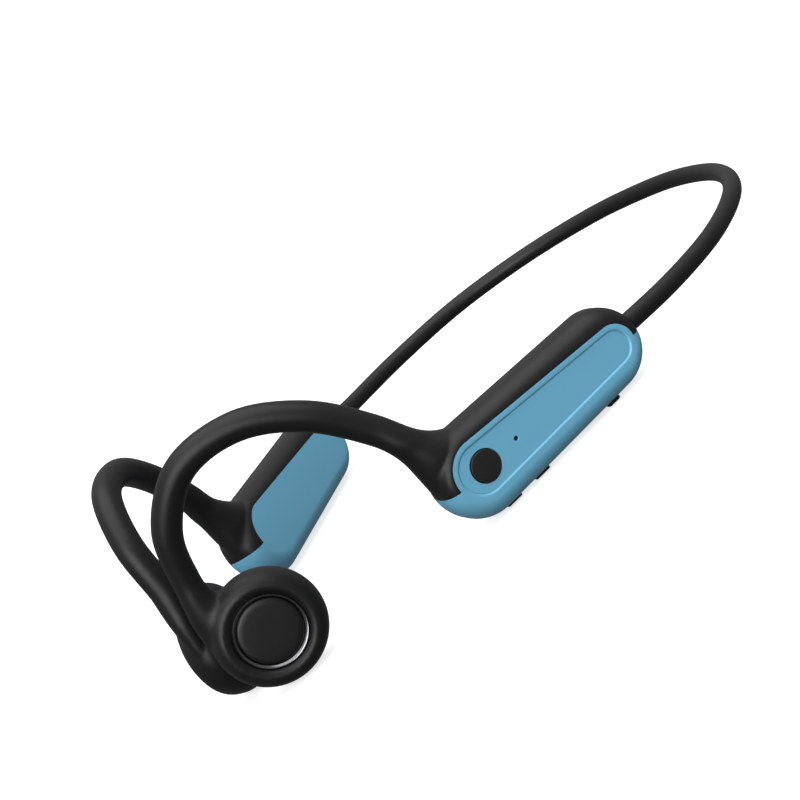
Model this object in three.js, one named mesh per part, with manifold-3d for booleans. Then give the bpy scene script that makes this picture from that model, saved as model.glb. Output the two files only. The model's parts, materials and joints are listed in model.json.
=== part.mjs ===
// Bone conduction headphones: a springy neckband joins two pods, and each pod carries an
// ear hook that ends in a round transducer. Millimetres, +Z up, +X is the wearer's left and
// -Y is forward. Each half is modelled as it is worn, then the headset is tilted onto the
// surface that it rests on, with the origin under the middle of its bounding box.
import * as THREE from "three";
import { mergeVertices } from "three/addons/utils/BufferGeometryUtils.js";
import Module from "manifold-3d";

const wasm = await Module();
wasm.setup();

// ---------------------------------------------------------------- driving dimensions
const GAP = 0.3; // clearance between neighbouring pieces
const REST_TILT = -0.9; // degrees about X, from the worn pose to the resting pose

// Neckband: the half from the middle of the back to the left pod.
const BAND_RADIUS = 2.3;
const BAND_BORE = 1.5;
const BAND_PATH = [
  [0, 134, -3.2], [17.3, 132.2, -3.2], [39.2, 122.4, -3.0], [55.5, 105.2, -2.5],
  [63.7, 83, -2.1], [64.4, 62, -1.2], [61.8, 41, 0.5],
];
const BAND_SIDES = 8;
const BAND_STEPS = 30;
const CORE_STEPS = 22;
const FLEX_POINT = BAND_PATH[0]; // where the two halves of the band meet
const SLEEVE_SETBACK = 3; // the sleeve ends inside the pod, short of the path's end
const CORE_START = 3.2; // the cores stop clear of the flexing middle
const BAND_WIRE = { radius: 0.45, lift: 0.65, setback: 0 };
const BAND_CABLE = { radius: 0.55, lift: -0.6, setback: 1 };

// Pod: a rounded slab. Its local X points outward, Y backward and Z up. Outlines are two
// circles, [along Y, along Z, radius].
const POD_CENTRE = [44.5, 0, 0];
const POD_YAW = 19.6;
const POD_LEAN = 1.5;
const POD_HALF = 6.2;
const POD_FLAT = 1.0; // half width of the straight stretch round the edge
const POD_OUTLINE = { front: [0, 0, 10.9], back: [39.05, -0.3, 9.9] };
const POD_FACE = { front: [-0.5, 0.8, 7.0], back: [40.6, -0.4, 5.2] };
const POD_END_COLUMNS = 8;
const POD_EDGE_STEPS = 3;
const COVER_THICKNESS = 1.3; // soft cover over the pod's upper side
const COVER_SPLIT = { y: -9, z: 0.4, slope: -0.03 }; // lower edge of the cover
const CAVITY_INSET = 2.7;
const CAVITY_DROP = 0.6;
const PLATE_THICKNESS = 1.2;
const PLATE_INSET = 1.0;
const PLATE_DISH = 0.3; // how far the plate lies below the rim round it
const PLATE_LEDGE = 1.2; // width of the ledge that the plate rests on

// Ear hook: from inside the pod, over the ear, to the front of the transducer.
const HOOK_RADIUS = 3.5;
const HOOK_BORE = 0.85;
const HOOK_PATH = [
  [44.3, -0.6, 5.6], [42.6, -5.2, 11.4], [39.7, -11.1, 21.8], [34.4, -18.7, 33.5],
  [26.2, -28.5, 41.1], [16.6, -39.8, 41.2], [8.7, -47.9, 31.7], [5.3, -51, 18.5],
  [6.4, -50, 9],
];
const HOOK_SIDES = 8;
const HOOK_STEPS = 26;
const HOOK_ROOT_FLARE = 2.4; // extra radius at the pod
const HOOK_TIP_FLARE = 1.7; // extra radius at the transducer
const FLARE_LENGTH = 9;
const HOOK_WIRE = { radius: 0.5, from: 0.01, to: 0.95 };
const HOOK_IN_POD = 0.25; // share of the hook that starts inside the pod

// Transducer: turned about its local X, which points outward.
const DISC_CENTRE = [8.7, -44, 1.05];
const DISC_YAW = 33;
const DISC_LIFT = -2;
const DISC_SEGMENTS = 24;
const DISC_RADIUS = 13.4;
const CAP_RADIUS = 7.4;
const RING_INNER = 7.7;
const RING_OUTER = 8.3;
const PAD_RADIUS = 9.1;

// Controls on the left pod, as [along Y, along Z] or along Y, in the pod's own axes.
const MAIN_BUTTON = { at: [0.5, 0.7], radius: 3.65, proud: 0.35, lip: 0.75, stem: 1.2 };
const MICROPHONE = { at: [9.7, 0.4], holeRadius: 0.6, radius: 1.6 };
const VOLUME_BUTTONS = { volume_up_button: 2.3, volume_down_button: 11.2 };
const VOLUME_SIZE = { length: 4.3, width: 3.2, bottom: -11.55, top: -7.8, lip: 0.5 };
const PORT = { y: 31.5, length: 8, width: 3, mouth: -8.9, top: -4.2, wall: 0.35 };
const FLAP = { front: 26, back: 37.3, halfWidth: 2.8, top: -9.7 };
const FLAP_TAB = { front: 32.7, back: 36.3, halfWidth: 2.2, bottom: -11.2 };

// ---------------------------------------------------------------- materials
const LOOKS = {
  silicone: { color: 0x1d1d1f, roughness: 0.6, metalness: 0 },
  shell: { color: 0x5fa9cb, roughness: 0.38, metalness: 0 },
  button: { color: 0x242426, roughness: 0.5, metalness: 0 },
  trim: { color: 0x9a9a9c, roughness: 0.18, metalness: 0.9 },
  titanium: { color: 0x8d8b88, roughness: 0.35, metalness: 1 },
  steel: { color: 0xb4b6ba, roughness: 0.3, metalness: 1 },
  magnet: { color: 0x6d7076, roughness: 0.3, metalness: 0.9 },
  copper: { color: 0xb8672f, roughness: 0.4, metalness: 0.9 },
  board: { color: 0x1e4a36, roughness: 0.55, metalness: 0.1 },
  cable: { color: 0x3a3a3c, roughness: 0.6, metalness: 0 },
  cell: { color: 0xaeb1b6, roughness: 0.4, metalness: 0.6 },
};

// ---------------------------------------------------------------- geometry helpers
const radians = THREE.MathUtils.degToRad;
const lerp = THREE.MathUtils.lerp;

// Six times the signed volume of an indexed geometry: negative when it is inside out.
function signedVolume(positions, index) {
  const [a, b, c] = [new THREE.Vector3(), new THREE.Vector3(), new THREE.Vector3()];
  let sum = 0;
  for (let i = 0; i < index.length; i += 3) {
    a.fromArray(positions, index[i] * 3);
    b.fromArray(positions, index[i + 1] * 3);
    c.fromArray(positions, index[i + 2] * 3);
    sum += a.dot(b.cross(c));
  }
  return sum;
}

// Welds a geometry, drops triangles that have collapsed and turns its faces outward.
function closed(geometry) {
  const bare = geometry.clone();
  bare.deleteAttribute("normal");
  bare.deleteAttribute("uv");
  const welded = mergeVertices(bare, 1e-4);
  const source = welded.index.array;
  const index = [];
  for (let i = 0; i < source.length; i += 3) {
    const [a, b, c] = source.slice(i, i + 3);
    if (a !== b && b !== c && c !== a) index.push(a, b, c);
  }
  if (signedVolume(welded.attributes.position.array, index) < 0) index.reverse();
  welded.setIndex(index);
  return welded;
}

function solid(geometry) {
  const { attributes, index } = closed(geometry);
  return new wasm.Manifold(new wasm.Mesh({
    numProp: 3,
    vertProperties: new Float32Array(attributes.position.array),
    triVerts: new Uint32Array(index.array),
  }));
}

function shapeOf(body) {
  const mesh = body.getMesh();
  const geometry = new THREE.BufferGeometry();
  geometry.setAttribute("position", new THREE.BufferAttribute(mesh.vertProperties, 3));
  geometry.setIndex(new THREE.BufferAttribute(mesh.triVerts, 1));
  return geometry;
}

function box([x0, x1], [y0, y1], [z0, z1]) {
  const geometry = new THREE.BoxGeometry(x1 - x0, y1 - y0, z1 - z0);
  return geometry.translate((x0 + x1) / 2, (y0 + y1) / 2, (z0 + z1) / 2);
}

// An outline in the local YZ plane, extruded from x0 to x1.
function prism(outline, [x0, x1], bevel = 0) {
  const geometry = new THREE.ExtrudeGeometry(outline, {
    depth: x1 - x0 - bevel,
    bevelEnabled: bevel > 0,
    bevelThickness: bevel,
    bevelSize: bevel,
    bevelOffset: -bevel,
    bevelSegments: 1,
    curveSegments: 6,
  });
  geometry.applyMatrix4(new THREE.Matrix4().makeBasis(
    new THREE.Vector3(0, 1, 0), new THREE.Vector3(0, 0, 1), new THREE.Vector3(1, 0, 0),
  ));
  return geometry.translate(x0, 0, 0);
}

// An outline of two circles joined by straight lines, shrunk by an inset.
function stadium({ front, back }, inset = 0) {
  const shape = new THREE.Shape();
  shape.absarc(front[0], front[1], front[2] - inset, Math.PI / 2, 1.5 * Math.PI, false);
  shape.absarc(back[0], back[1], back[2] - inset, -Math.PI / 2, Math.PI / 2, false);
  shape.closePath();
  return shape;
}

function roundedRectangle([y0, y1], [z0, z1], radius) {
  const shape = new THREE.Shape();
  shape.absarc(y1 - radius, z1 - radius, radius, 0, Math.PI / 2, false);
  shape.absarc(y0 + radius, z1 - radius, radius, Math.PI / 2, Math.PI, false);
  shape.absarc(y0 + radius, z0 + radius, radius, Math.PI, 1.5 * Math.PI, false);
  shape.absarc(y1 - radius, z0 + radius, radius, 1.5 * Math.PI, 2 * Math.PI, false);
  shape.closePath();
  return shape;
}

// A profile of [radius, along X] points, turned about the local X axis.
function turned(profile, segments = DISC_SEGMENTS) {
  const points = profile.map(([radius, along]) => new THREE.Vector2(radius, along));
  return new THREE.LatheGeometry(points, segments).rotateZ(-Math.PI / 2);
}

// A plain disc or cylinder about the local X axis.
function puck(radius, [x0, x1], segments = 16) {
  const geometry = new THREE.CylinderGeometry(radius, radius, x1 - x0, segments);
  return geometry.rotateZ(-Math.PI / 2).translate((x0 + x1) / 2, 0, 0);
}

// The stretch of a curve between two fractions of its length, moved up or down.
class Stretch extends THREE.Curve {
  constructor(curve, from, to, lift = 0) {
    super();
    this.curve = curve;
    this.from = from;
    this.to = to;
    this.lift = new THREE.Vector3(0, 0, lift);
  }

  getPoint(t, target = new THREE.Vector3()) {
    this.curve.getPointAt(lerp(this.from, this.to, t), target);
    return target.add(this.lift);
  }
}

function vectors(points) {
  return points.map((point) => new THREE.Vector3(...point));
}

function tube(curve, steps, radius, sides, bore = 0) {
  const section = new THREE.Shape();
  section.absarc(0, 0, radius, 0, 2 * Math.PI, false);
  if (bore > 0) {
    const hole = new THREE.Path();
    hole.absarc(0, 0, bore, 0, 2 * Math.PI, true);
    section.holes.push(hole);
  }
  return new THREE.ExtrudeGeometry(section, {
    steps,
    extrudePath: curve,
    bevelEnabled: false,
    curveSegments: sides / 2,
  });
}

// Widens or narrows a tube: radiusAt gives the factor for a distance along its curve.
function tapered(geometry, curve, steps, factorAt) {
  const centres = curve.getSpacedPoints(steps);
  const length = curve.getLength();
  const positions = geometry.attributes.position;
  const vertex = new THREE.Vector3();
  for (let i = 0; i < positions.count; i += 1) {
    vertex.fromBufferAttribute(positions, i);
    let ring = 0;
    centres.forEach((centre, k) => {
      if (vertex.distanceTo(centre) < vertex.distanceTo(centres[ring])) ring = k;
    });
    const factor = factorAt((length * ring) / steps);
    vertex.sub(centres[ring]).multiplyScalar(factor).add(centres[ring]);
    positions.setXYZ(i, vertex.x, vertex.y, vertex.z);
  }
  return geometry;
}

// ---------------------------------------------------------------- pod
// The pod's outer form, shrunk all round by an inset. It starts as a turned form whose
// columns are then moved onto the front and back circles of each level's outline.
function podForm(inset, drop = 0) {
  const half = POD_HALF - inset;
  const rim = [];
  for (let step = 0; step <= POD_EDGE_STEPS; step += 1) {
    const angle = (step / POD_EDGE_STEPS) * (Math.PI / 2);
    const x = POD_FLAT + (half - POD_FLAT) * Math.cos(angle);
    rim.push({ spread: Math.sin(angle), x });
  }
  const rows = [
    { spread: 0, x: -half, reach: 0 },
    ...rim.map(({ spread, x }) => ({ spread, x: -x, reach: 1 })),
    ...rim.toReversed().map(({ spread, x }) => ({ spread, x, reach: 1 })),
    { spread: 0, x: half, reach: 0 },
  ];
  const columns = 2 * POD_END_COLUMNS;
  const profile = rows.map(({ reach, x }) => new THREE.Vector2(reach, x));
  const geometry = new THREE.LatheGeometry(profile, columns);
  const positions = geometry.attributes.position;
  for (let i = 0; i < positions.count; i += 1) {
    const column = Math.floor(i / rows.length) % columns;
    const { spread, x, reach } = rows[i % rows.length];
    const end = column < POD_END_COLUMNS ? "front" : "back";
    const start = end === "front" ? Math.PI / 2 : -Math.PI / 2;
    const turn = start + (Math.PI * (column % POD_END_COLUMNS)) / (POD_END_COLUMNS - 1);
    const [y, z, radius] = POD_FACE[end].map((value, k) => (
      lerp(value, POD_OUTLINE[end][k], spread)
    ));
    const reached = (radius - inset) * reach;
    const across = y + reached * Math.cos(turn);
    positions.setXYZ(i, x, across, z + reached * Math.sin(turn) - drop);
  }
  return solid(geometry);
}

// Everything above the cover's lower edge.
function aboveSplit(extra = 0) {
  const slab = new THREE.BoxGeometry(60, 160, 60).translate(0, 0, 30);
  slab.rotateX(Math.atan(COVER_SPLIT.slope));
  return solid(slab.translate(0, COVER_SPLIT.y, COVER_SPLIT.z - extra));
}

function facePrism(inset, range) {
  return solid(prism(stadium(POD_FACE, inset), range));
}

// Moves a solid from a half's axes into the pod's own axes.
function intoFrame(geometry, frame) {
  return solid(geometry.clone().applyMatrix4(frame.matrix.clone().invert()));
}

function podShell(frame, paths, cutters) {
  const through = [-2 * POD_HALF, 2 * POD_HALF];
  const pocket = podForm(-0.5)
    .subtract(podForm(COVER_THICKNESS + GAP))
    .intersect(aboveSplit(GAP))
    .subtract(facePrism(GAP, through));
  const ledge = POD_HALF - PLATE_THICKNESS - GAP;
  const bandHole = tube(paths.band, BAND_STEPS, BAND_RADIUS + GAP, BAND_SIDES);
  const hookHole = tube(new Stretch(paths.hook, 0, HOOK_IN_POD), 8, HOOK_BORE + GAP, HOOK_SIDES);
  return [
    pocket,
    podForm(CAVITY_INSET, CAVITY_DROP),
    facePrism(PLATE_INSET - GAP, [ledge, 2 * POD_HALF]),
    facePrism(PLATE_INSET + PLATE_LEDGE, [0, 2 * POD_HALF]),
    intoFrame(bandHole, frame),
    intoFrame(hookHole, frame),
    ...cutters,
  ].reduce((shell, cutter) => shell.subtract(cutter), podForm(0));
}

function facePlate(holes) {
  const outline = stadium(POD_FACE, PLATE_INSET);
  const top = POD_HALF - PLATE_DISH;
  const plate = prism(outline, [POD_HALF - PLATE_THICKNESS, top], PLATE_DISH / 2);
  return holes.reduce((body, hole) => body.subtract(hole), solid(plate));
}

// A round hole through the pod's outer face.
function faceHole([y, z], radius) {
  return solid(puck(radius, [POD_HALF - 3, POD_HALF + 1]).translate(0, y, z));
}

// ---------------------------------------------------------------- ear hook
// The soft cover over the pod and the hook that grows out of it are one moulding.
function hookFactor(length) {
  return (distance) => {
    const root = HOOK_ROOT_FLARE * Math.exp(-((distance / FLARE_LENGTH) ** 2));
    const tip = HOOK_TIP_FLARE * Math.exp(-(((length - distance) / FLARE_LENGTH) ** 2));
    return (HOOK_RADIUS + root + tip) / HOOK_RADIUS;
  };
}

function earHook(podFrame, discFrame, paths) {
  const curve = paths.hook;
  const plain = tube(curve, HOOK_STEPS, HOOK_RADIUS, HOOK_SIDES);
  const hook = tapered(plain, curve, HOOK_STEPS, hookFactor(curve.getLength()));
  const bore = tube(curve, HOOK_STEPS, HOOK_BORE, 6);
  const bandHole = tube(paths.band, BAND_STEPS, BAND_RADIUS + GAP, BAND_SIDES);
  const inPod = (geometry) => intoFrame(geometry, podFrame);
  const clearance = turned(TRANSDUCER_CLEARANCE).applyMatrix4(discFrame.matrix);
  const pod = podForm(0);
  const coverZone = aboveSplit().subtract(facePrism(0, [-20, 20]));
  return inPod(hook)
    .subtract(pod.subtract(coverZone))
    .add(pod.intersect(coverZone))
    .subtract(podForm(COVER_THICKNESS))
    .subtract(inPod(clearance))
    .subtract(inPod(bore))
    .subtract(inPod(bandHole));
}

// ---------------------------------------------------------------- neckband
const bandSweep = new THREE.CatmullRomCurve3([
  ...vectors(BAND_PATH.slice(1).toReversed().map(([x, y, z]) => [-x, y, z])),
  ...vectors(BAND_PATH),
]);
const hookCurve = new THREE.CatmullRomCurve3(vectors(HOOK_PATH));

// A distance along the band from the middle of the back, or back from the pod's end of it,
// as a fraction of the whole sweep.
const fromMiddle = (distance) => 0.5 + distance / bandSweep.getLength();
const fromPodEnd = (distance) => 1 - distance / bandSweep.getLength();

// The left half ends in a round knuckle, and the right half's end is hollowed to fit it,
// so that the halves can swing about an upright axis where they meet.
function bandSleeve(side) {
  const overlap = side === "left" ? 2 * BAND_RADIUS : 0;
  const curve = new Stretch(bandSweep, fromMiddle(-overlap), fromPodEnd(SLEEVE_SETBACK));
  const sleeve = solid(tube(curve, BAND_STEPS, BAND_RADIUS, BAND_SIDES, BAND_BORE));
  const [, y, z] = FLEX_POINT;
  const upright = (radius) => solid(
    new THREE.CylinderGeometry(radius, radius, 20, 20).rotateX(Math.PI / 2).translate(0, y, z),
  );
  if (side === "right") return sleeve.subtract(upright(BAND_RADIUS + GAP));
  const beyond = solid(box([-20, 0], [y - 20, y + 20], [z - 20, z + 20]));
  return sleeve.subtract(beyond.subtract(upright(BAND_RADIUS)));
}

function bandCore({ radius, lift, setback }) {
  const curve = new Stretch(bandSweep, fromMiddle(CORE_START), fromPodEnd(setback), lift);
  return tube(curve, CORE_STEPS, radius, 6);
}

// ---------------------------------------------------------------- transducer
const TRANSDUCER_SHELL = [
  [6, 2.9], [6, 3.9], [8.6, 3.9], [8.6, 5.3], [9.1, 6], [10.2, 6.4], [11.4, 6], [12.4, 4.8],
  [13.1, 3], [DISC_RADIUS, 1], [13.2, -0.3], [12.6, -1.4], [11.6, -2.4], [10.5, -3.2],
  [9.4, -3.6], [9.4, -2.4], [11, -1.2], [11.6, 0.6], [11, 2.9], [6, 2.9],
];
const TRANSDUCER_CLEARANCE = [
  [0, -4], [9.5, -3.95], [10.8, -3.5], [12.1, -2.5], [13, -1.2], [13.7, 0.8], [13.7, 1.4],
  [13.3, 3.3], [12.7, 5], [11.6, 6.3], [10.2, 6.75], [0, 6.75],
];
const TRANSDUCER_PIECES = {
  transducer_cap: {
    look: "silicone",
    profile: [[0, 4.2], [7, 4.2], [CAP_RADIUS, 4.5], [CAP_RADIUS, 5.3], [7.1, 5.6], [0, 5.6]],
  },
  transducer_ring: {
    look: "trim",
    profile: [
      [RING_INNER, 4.2], [RING_OUTER, 4.2], [RING_OUTER, 5.2], [8, 5.6], [RING_INNER, 5.4],
      [RING_INNER, 4.2],
    ],
  },
  transducer_pad: {
    look: "silicone",
    profile: [[0, -3.9], [8.4, -3.9], [PAD_RADIUS, -3.5], [PAD_RADIUS, -2.3], [0, -2.3]],
  },
  driver_yoke: {
    look: "steel",
    profile: [[0, 1.4], [7.2, 1.4], [7.2, -0.6], [8.2, -0.6], [8.2, 2.5], [0, 2.5]],
  },
  driver_magnet: { look: "magnet", profile: [[0, -0.6], [5.4, -0.6], [5.4, 1.1], [0, 1.1]] },
  driver_coil: {
    look: "copper",
    profile: [[5.9, -1.2], [6.8, -1.2], [6.8, 0.8], [5.9, 0.8], [5.9, -1.2]],
  },
  driver_spring: {
    look: "steel",
    profile: [[3, -1.9], [9.8, -1.9], [9.8, -1.5], [3, -1.5], [3, -1.9]],
  },
};

// ---------------------------------------------------------------- controls
function mainButton() {
  const [y, z] = MAIN_BUTTON.at;
  const { radius, proud, lip, stem } = MAIN_BUTTON;
  const crown = POD_HALF + proud;
  const flange = POD_HALF - PLATE_THICKNESS - 0.4;
  const profile = [
    [0, crown], [radius - 0.4, crown - 0.05], [radius, crown - 0.4], [radius, flange],
    [radius + lip, flange], [radius + lip, flange - 0.7], [stem, flange - 0.7],
    [stem, flange - 1.7], [0, flange - 1.7],
  ];
  return turned(profile, 18).translate(0, y, z);
}

function volumeButton(y) {
  const { length, width, bottom, top, lip } = VOLUME_SIZE;
  const along = [y - length / 2, y + length / 2];
  const key = prism(roundedRectangle(along, [bottom, top], 0.7), [-width / 2, width / 2]);
  const flange = box([-width / 2 - lip, width / 2 + lip], [along[0] - lip, along[1] + lip],
    [top - 0.05, top + 0.45]);
  return solid(key).add(solid(flange));
}

function volumeHole(y) {
  const { length, width, top } = VOLUME_SIZE;
  return solid(box([-width / 2 - GAP, width / 2 + GAP],
    [y - length / 2 - GAP, y + length / 2 + GAP], [-20, top]));
}

function chargingSocket() {
  const { y, length, width, mouth, top, wall } = PORT;
  const outer = solid(box([-width / 2, width / 2], [y - length / 2, y + length / 2],
    [mouth, top]));
  const hollow = solid(box([wall - width / 2, width / 2 - wall],
    [y - length / 2 + wall, y + length / 2 - wall], [mouth - 1, top - 0.8]));
  const tongue = solid(box([-0.3, 0.3], [y - 2.5, y + 2.5], [mouth + 1.3, top - 0.5]));
  return outer.subtract(hollow).add(tongue);
}

function portCutters() {
  const { y, length, width, top } = PORT;
  const throat = box([-width / 2 - GAP, width / 2 + GAP],
    [y - length / 2 - GAP, y + length / 2 + GAP], [-20, top]);
  const recess = box([-FLAP.halfWidth - GAP, FLAP.halfWidth + GAP],
    [FLAP.front - 0.6, FLAP.back + GAP], [-20, FLAP.top + GAP]);
  return [solid(throat), solid(recess)];
}

function portCover() {
  const { y, length } = PORT;
  const zone = solid(box([-FLAP.halfWidth, FLAP.halfWidth], [FLAP.front, FLAP.back],
    [-20, FLAP.top]));
  const outline = roundedRectangle([FLAP_TAB.front, FLAP_TAB.back],
    [FLAP_TAB.bottom, FLAP.top], 0.5);
  const tab = solid(prism(outline, [-FLAP_TAB.halfWidth, FLAP_TAB.halfWidth]));
  const plug = solid(box([-0.8, 0.8], [y - length / 2 + 0.8, y + length / 2 - 0.8],
    [FLAP.top - 0.1, PORT.mouth + 0.9]));
  return podForm(0).intersect(zone).add(tab).add(plug);
}

const LEFT_INTERIOR = {
  control_board: {
    look: "board",
    shape: () => prism(roundedRectangle([-5, 26], [-4.9, 5.2], 2), [-0.4, 0.4]),
  },
  main_switch: { look: "steel", shape: () => box([0.7, 2.3], [-1, 2], [-0.8, 2.2]) },
  microphone: {
    look: "steel",
    shape: () => puck(MICROPHONE.radius, [0.7, 2]).translate(0, ...MICROPHONE.at),
  },
  radio_module: { look: "steel", shape: () => box([0.7, 2.2], [14, 23], [-4, 4]) },
  volume_switch_front: { look: "steel", shape: () => volumeSwitch("volume_up_button") },
  volume_switch_rear: { look: "steel", shape: () => volumeSwitch("volume_down_button") },
};

const RIGHT_INTERIOR = {
  battery: {
    look: "cell",
    shape: () => prism(roundedRectangle([-4.5, 31], [-6, 5], 1.5), [-2.6, 2.6], 0.5),
  },
  battery_board: {
    look: "board",
    shape: () => prism(roundedRectangle([31.5, 38], [-4.5, 3.5], 0.8), [-0.4, 0.4]),
  },
};

function volumeSwitch(button) {
  const y = VOLUME_BUTTONS[button];
  return box([-1.5, 1.5], [y - 1.5, y + 1.5], [-6.9, -5.2]);
}

// ---------------------------------------------------------------- assembly
// Adds a named piece to a group. The right half is the left half's mirror image.
function addPiece(group, side, name, shape, look) {
  const geometry = shape instanceof THREE.BufferGeometry ? shape : shapeOf(shape);
  const placed = side === "right" ? geometry.clone().scale(-1, 1, 1) : geometry;
  const mesh = new THREE.Mesh(closed(placed), new THREE.MeshStandardMaterial(LOOKS[look]));
  mesh.name = name;
  group.add(mesh);
}

// A group at a place on one half, turned about Z by yaw and then about Y by lean.
function frameAt([x, y, z], yaw, lean, side) {
  const sign = side === "right" ? -1 : 1;
  const group = new THREE.Group();
  group.position.set(sign * x, y, z);
  group.rotation.set(0, sign * radians(lean), -sign * radians(yaw), "ZYX");
  group.updateMatrix();
  return group;
}

function addTransducer(half, side) {
  const disc = frameAt(DISC_CENTRE, DISC_YAW, DISC_LIFT, side);
  addPiece(disc, side, `transducer_shell_${side}`, turned(TRANSDUCER_SHELL), "silicone");
  for (const [name, { look, profile }] of Object.entries(TRANSDUCER_PIECES)) {
    addPiece(disc, side, `${name}_${side}`, turned(profile, 18), look);
  }
  half.add(disc);
}

function addControls(pod) {
  addPiece(pod, "left", "main_button", mainButton(), "button");
  for (const [name, y] of Object.entries(VOLUME_BUTTONS)) {
    addPiece(pod, "left", name, volumeButton(y), "button");
  }
  addPiece(pod, "left", "charging_socket", chargingSocket(), "steel");
  addPiece(pod, "left", "port_cover", portCover(), "silicone");
}

function addPod(half, side, paths) {
  const pod = frameAt(POD_CENTRE, POD_YAW, POD_LEAN, side);
  const unmirrored = frameAt(POD_CENTRE, POD_YAW, POD_LEAN, "left");
  const disc = frameAt(DISC_CENTRE, DISC_YAW, DISC_LIFT, "left");
  const left = side === "left";
  const cutters = left
    ? [...Object.values(VOLUME_BUTTONS).map(volumeHole), ...portCutters()] : [];
  const holes = left
    ? [faceHole(MAIN_BUTTON.at, MAIN_BUTTON.radius + GAP),
      faceHole(MICROPHONE.at, MICROPHONE.holeRadius)] : [];
  addPiece(pod, side, `pod_shell_${side}`, podShell(unmirrored, paths, cutters), "shell");
  addPiece(pod, side, `pod_faceplate_${side}`, facePlate(holes), "shell");
  addPiece(pod, side, `ear_hook_${side}`, earHook(unmirrored, disc, paths), "silicone");
  if (left) addControls(pod);
  for (const [name, { look, shape }] of Object.entries(left ? LEFT_INTERIOR : RIGHT_INTERIOR)) {
    addPiece(pod, side, name, shape(), look);
  }
  half.add(pod);
}

function buildHalf(side) {
  const half = new THREE.Group();
  const paths = { band: new Stretch(bandSweep, 0.5, 1), hook: hookCurve };
  addPiece(half, side, `band_sleeve_${side}`, bandSleeve(side), "silicone");
  addPiece(half, side, `band_wire_${side}`, bandCore(BAND_WIRE), "titanium");
  addPiece(half, side, `band_cable_${side}`, bandCore(BAND_CABLE), "cable");
  const wirePath = new Stretch(hookCurve, HOOK_WIRE.from, HOOK_WIRE.to);
  const wire = tube(wirePath, HOOK_STEPS, HOOK_WIRE.radius, 6);
  addPiece(half, side, `hook_wire_${side}`, wire, "titanium");
  addPod(half, side, paths);
  addTransducer(half, side);
  return half;
}

const headphones = new THREE.Group();
for (const side of ["left", "right"]) headphones.add(buildHalf(side));
headphones.rotation.x = radians(REST_TILT);

const bounds = new THREE.Box3().setFromObject(headphones, true);
const middle = bounds.getCenter(new THREE.Vector3());
headphones.position.set(-middle.x, -middle.y, -bounds.min.z);
headphones.updateMatrixWorld(true);

export default headphones;
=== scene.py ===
"""Bone conduction headphones: a springy neckband, two pods, two ear hooks, two transducers.

Shapes are worked out in millimetres in the pod's own axes, where X points outward, Y backward
and Z up, and are then seated in the row frame in metres.
"""

from __future__ import annotations

import json
import logging
import math
from collections.abc import Callable, Sequence
from dataclasses import dataclass
from enum import Enum
from typing import ClassVar

import bmesh
import bpy
from mathutils import Matrix, Vector

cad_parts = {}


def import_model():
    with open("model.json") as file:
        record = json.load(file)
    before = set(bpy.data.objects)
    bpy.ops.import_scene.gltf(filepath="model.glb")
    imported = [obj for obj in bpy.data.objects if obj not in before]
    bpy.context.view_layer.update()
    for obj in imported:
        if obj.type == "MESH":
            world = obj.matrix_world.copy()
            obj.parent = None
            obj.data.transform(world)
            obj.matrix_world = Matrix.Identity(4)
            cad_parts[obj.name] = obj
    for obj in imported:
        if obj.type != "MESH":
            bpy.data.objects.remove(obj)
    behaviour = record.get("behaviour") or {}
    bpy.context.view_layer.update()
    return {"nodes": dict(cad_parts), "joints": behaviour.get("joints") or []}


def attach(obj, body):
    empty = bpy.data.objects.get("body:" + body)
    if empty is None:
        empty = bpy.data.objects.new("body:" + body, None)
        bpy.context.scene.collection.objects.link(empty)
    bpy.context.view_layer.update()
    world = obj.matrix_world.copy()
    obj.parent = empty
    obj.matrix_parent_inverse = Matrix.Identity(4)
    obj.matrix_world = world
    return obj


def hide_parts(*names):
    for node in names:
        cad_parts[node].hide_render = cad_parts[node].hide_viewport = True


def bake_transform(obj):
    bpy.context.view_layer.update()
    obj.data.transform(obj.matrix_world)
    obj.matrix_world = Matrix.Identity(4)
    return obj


LOG = logging.getLogger("headphones")
MM = 0.001
# Edges sharper than this many degrees stay crisp.
CREASE = 32.0
# The least square root of a distance that a curve divides by.
LEAST_GAP = 0.01

Colour = tuple[float, float, float]
Point = tuple[float, float, float]
Profile = Sequence[tuple[float, float]]
Section = tuple[float, float, float, float, float]
Join = tuple[Point, float, float]
Station = tuple[Vector, Vector, Vector]


class Side(Enum):
    """The side of the head a piece is worn on."""

    LEFT = "left"
    RIGHT = "right"

    @property
    def body(self) -> str:
        """The body that carries this side's fixed pieces."""
        return f"{self.value}_half"


class Joining(Enum):
    """How one solid works on another."""

    CUT = "DIFFERENCE"
    ADD = "UNION"
    CROSS = "INTERSECT"


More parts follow.
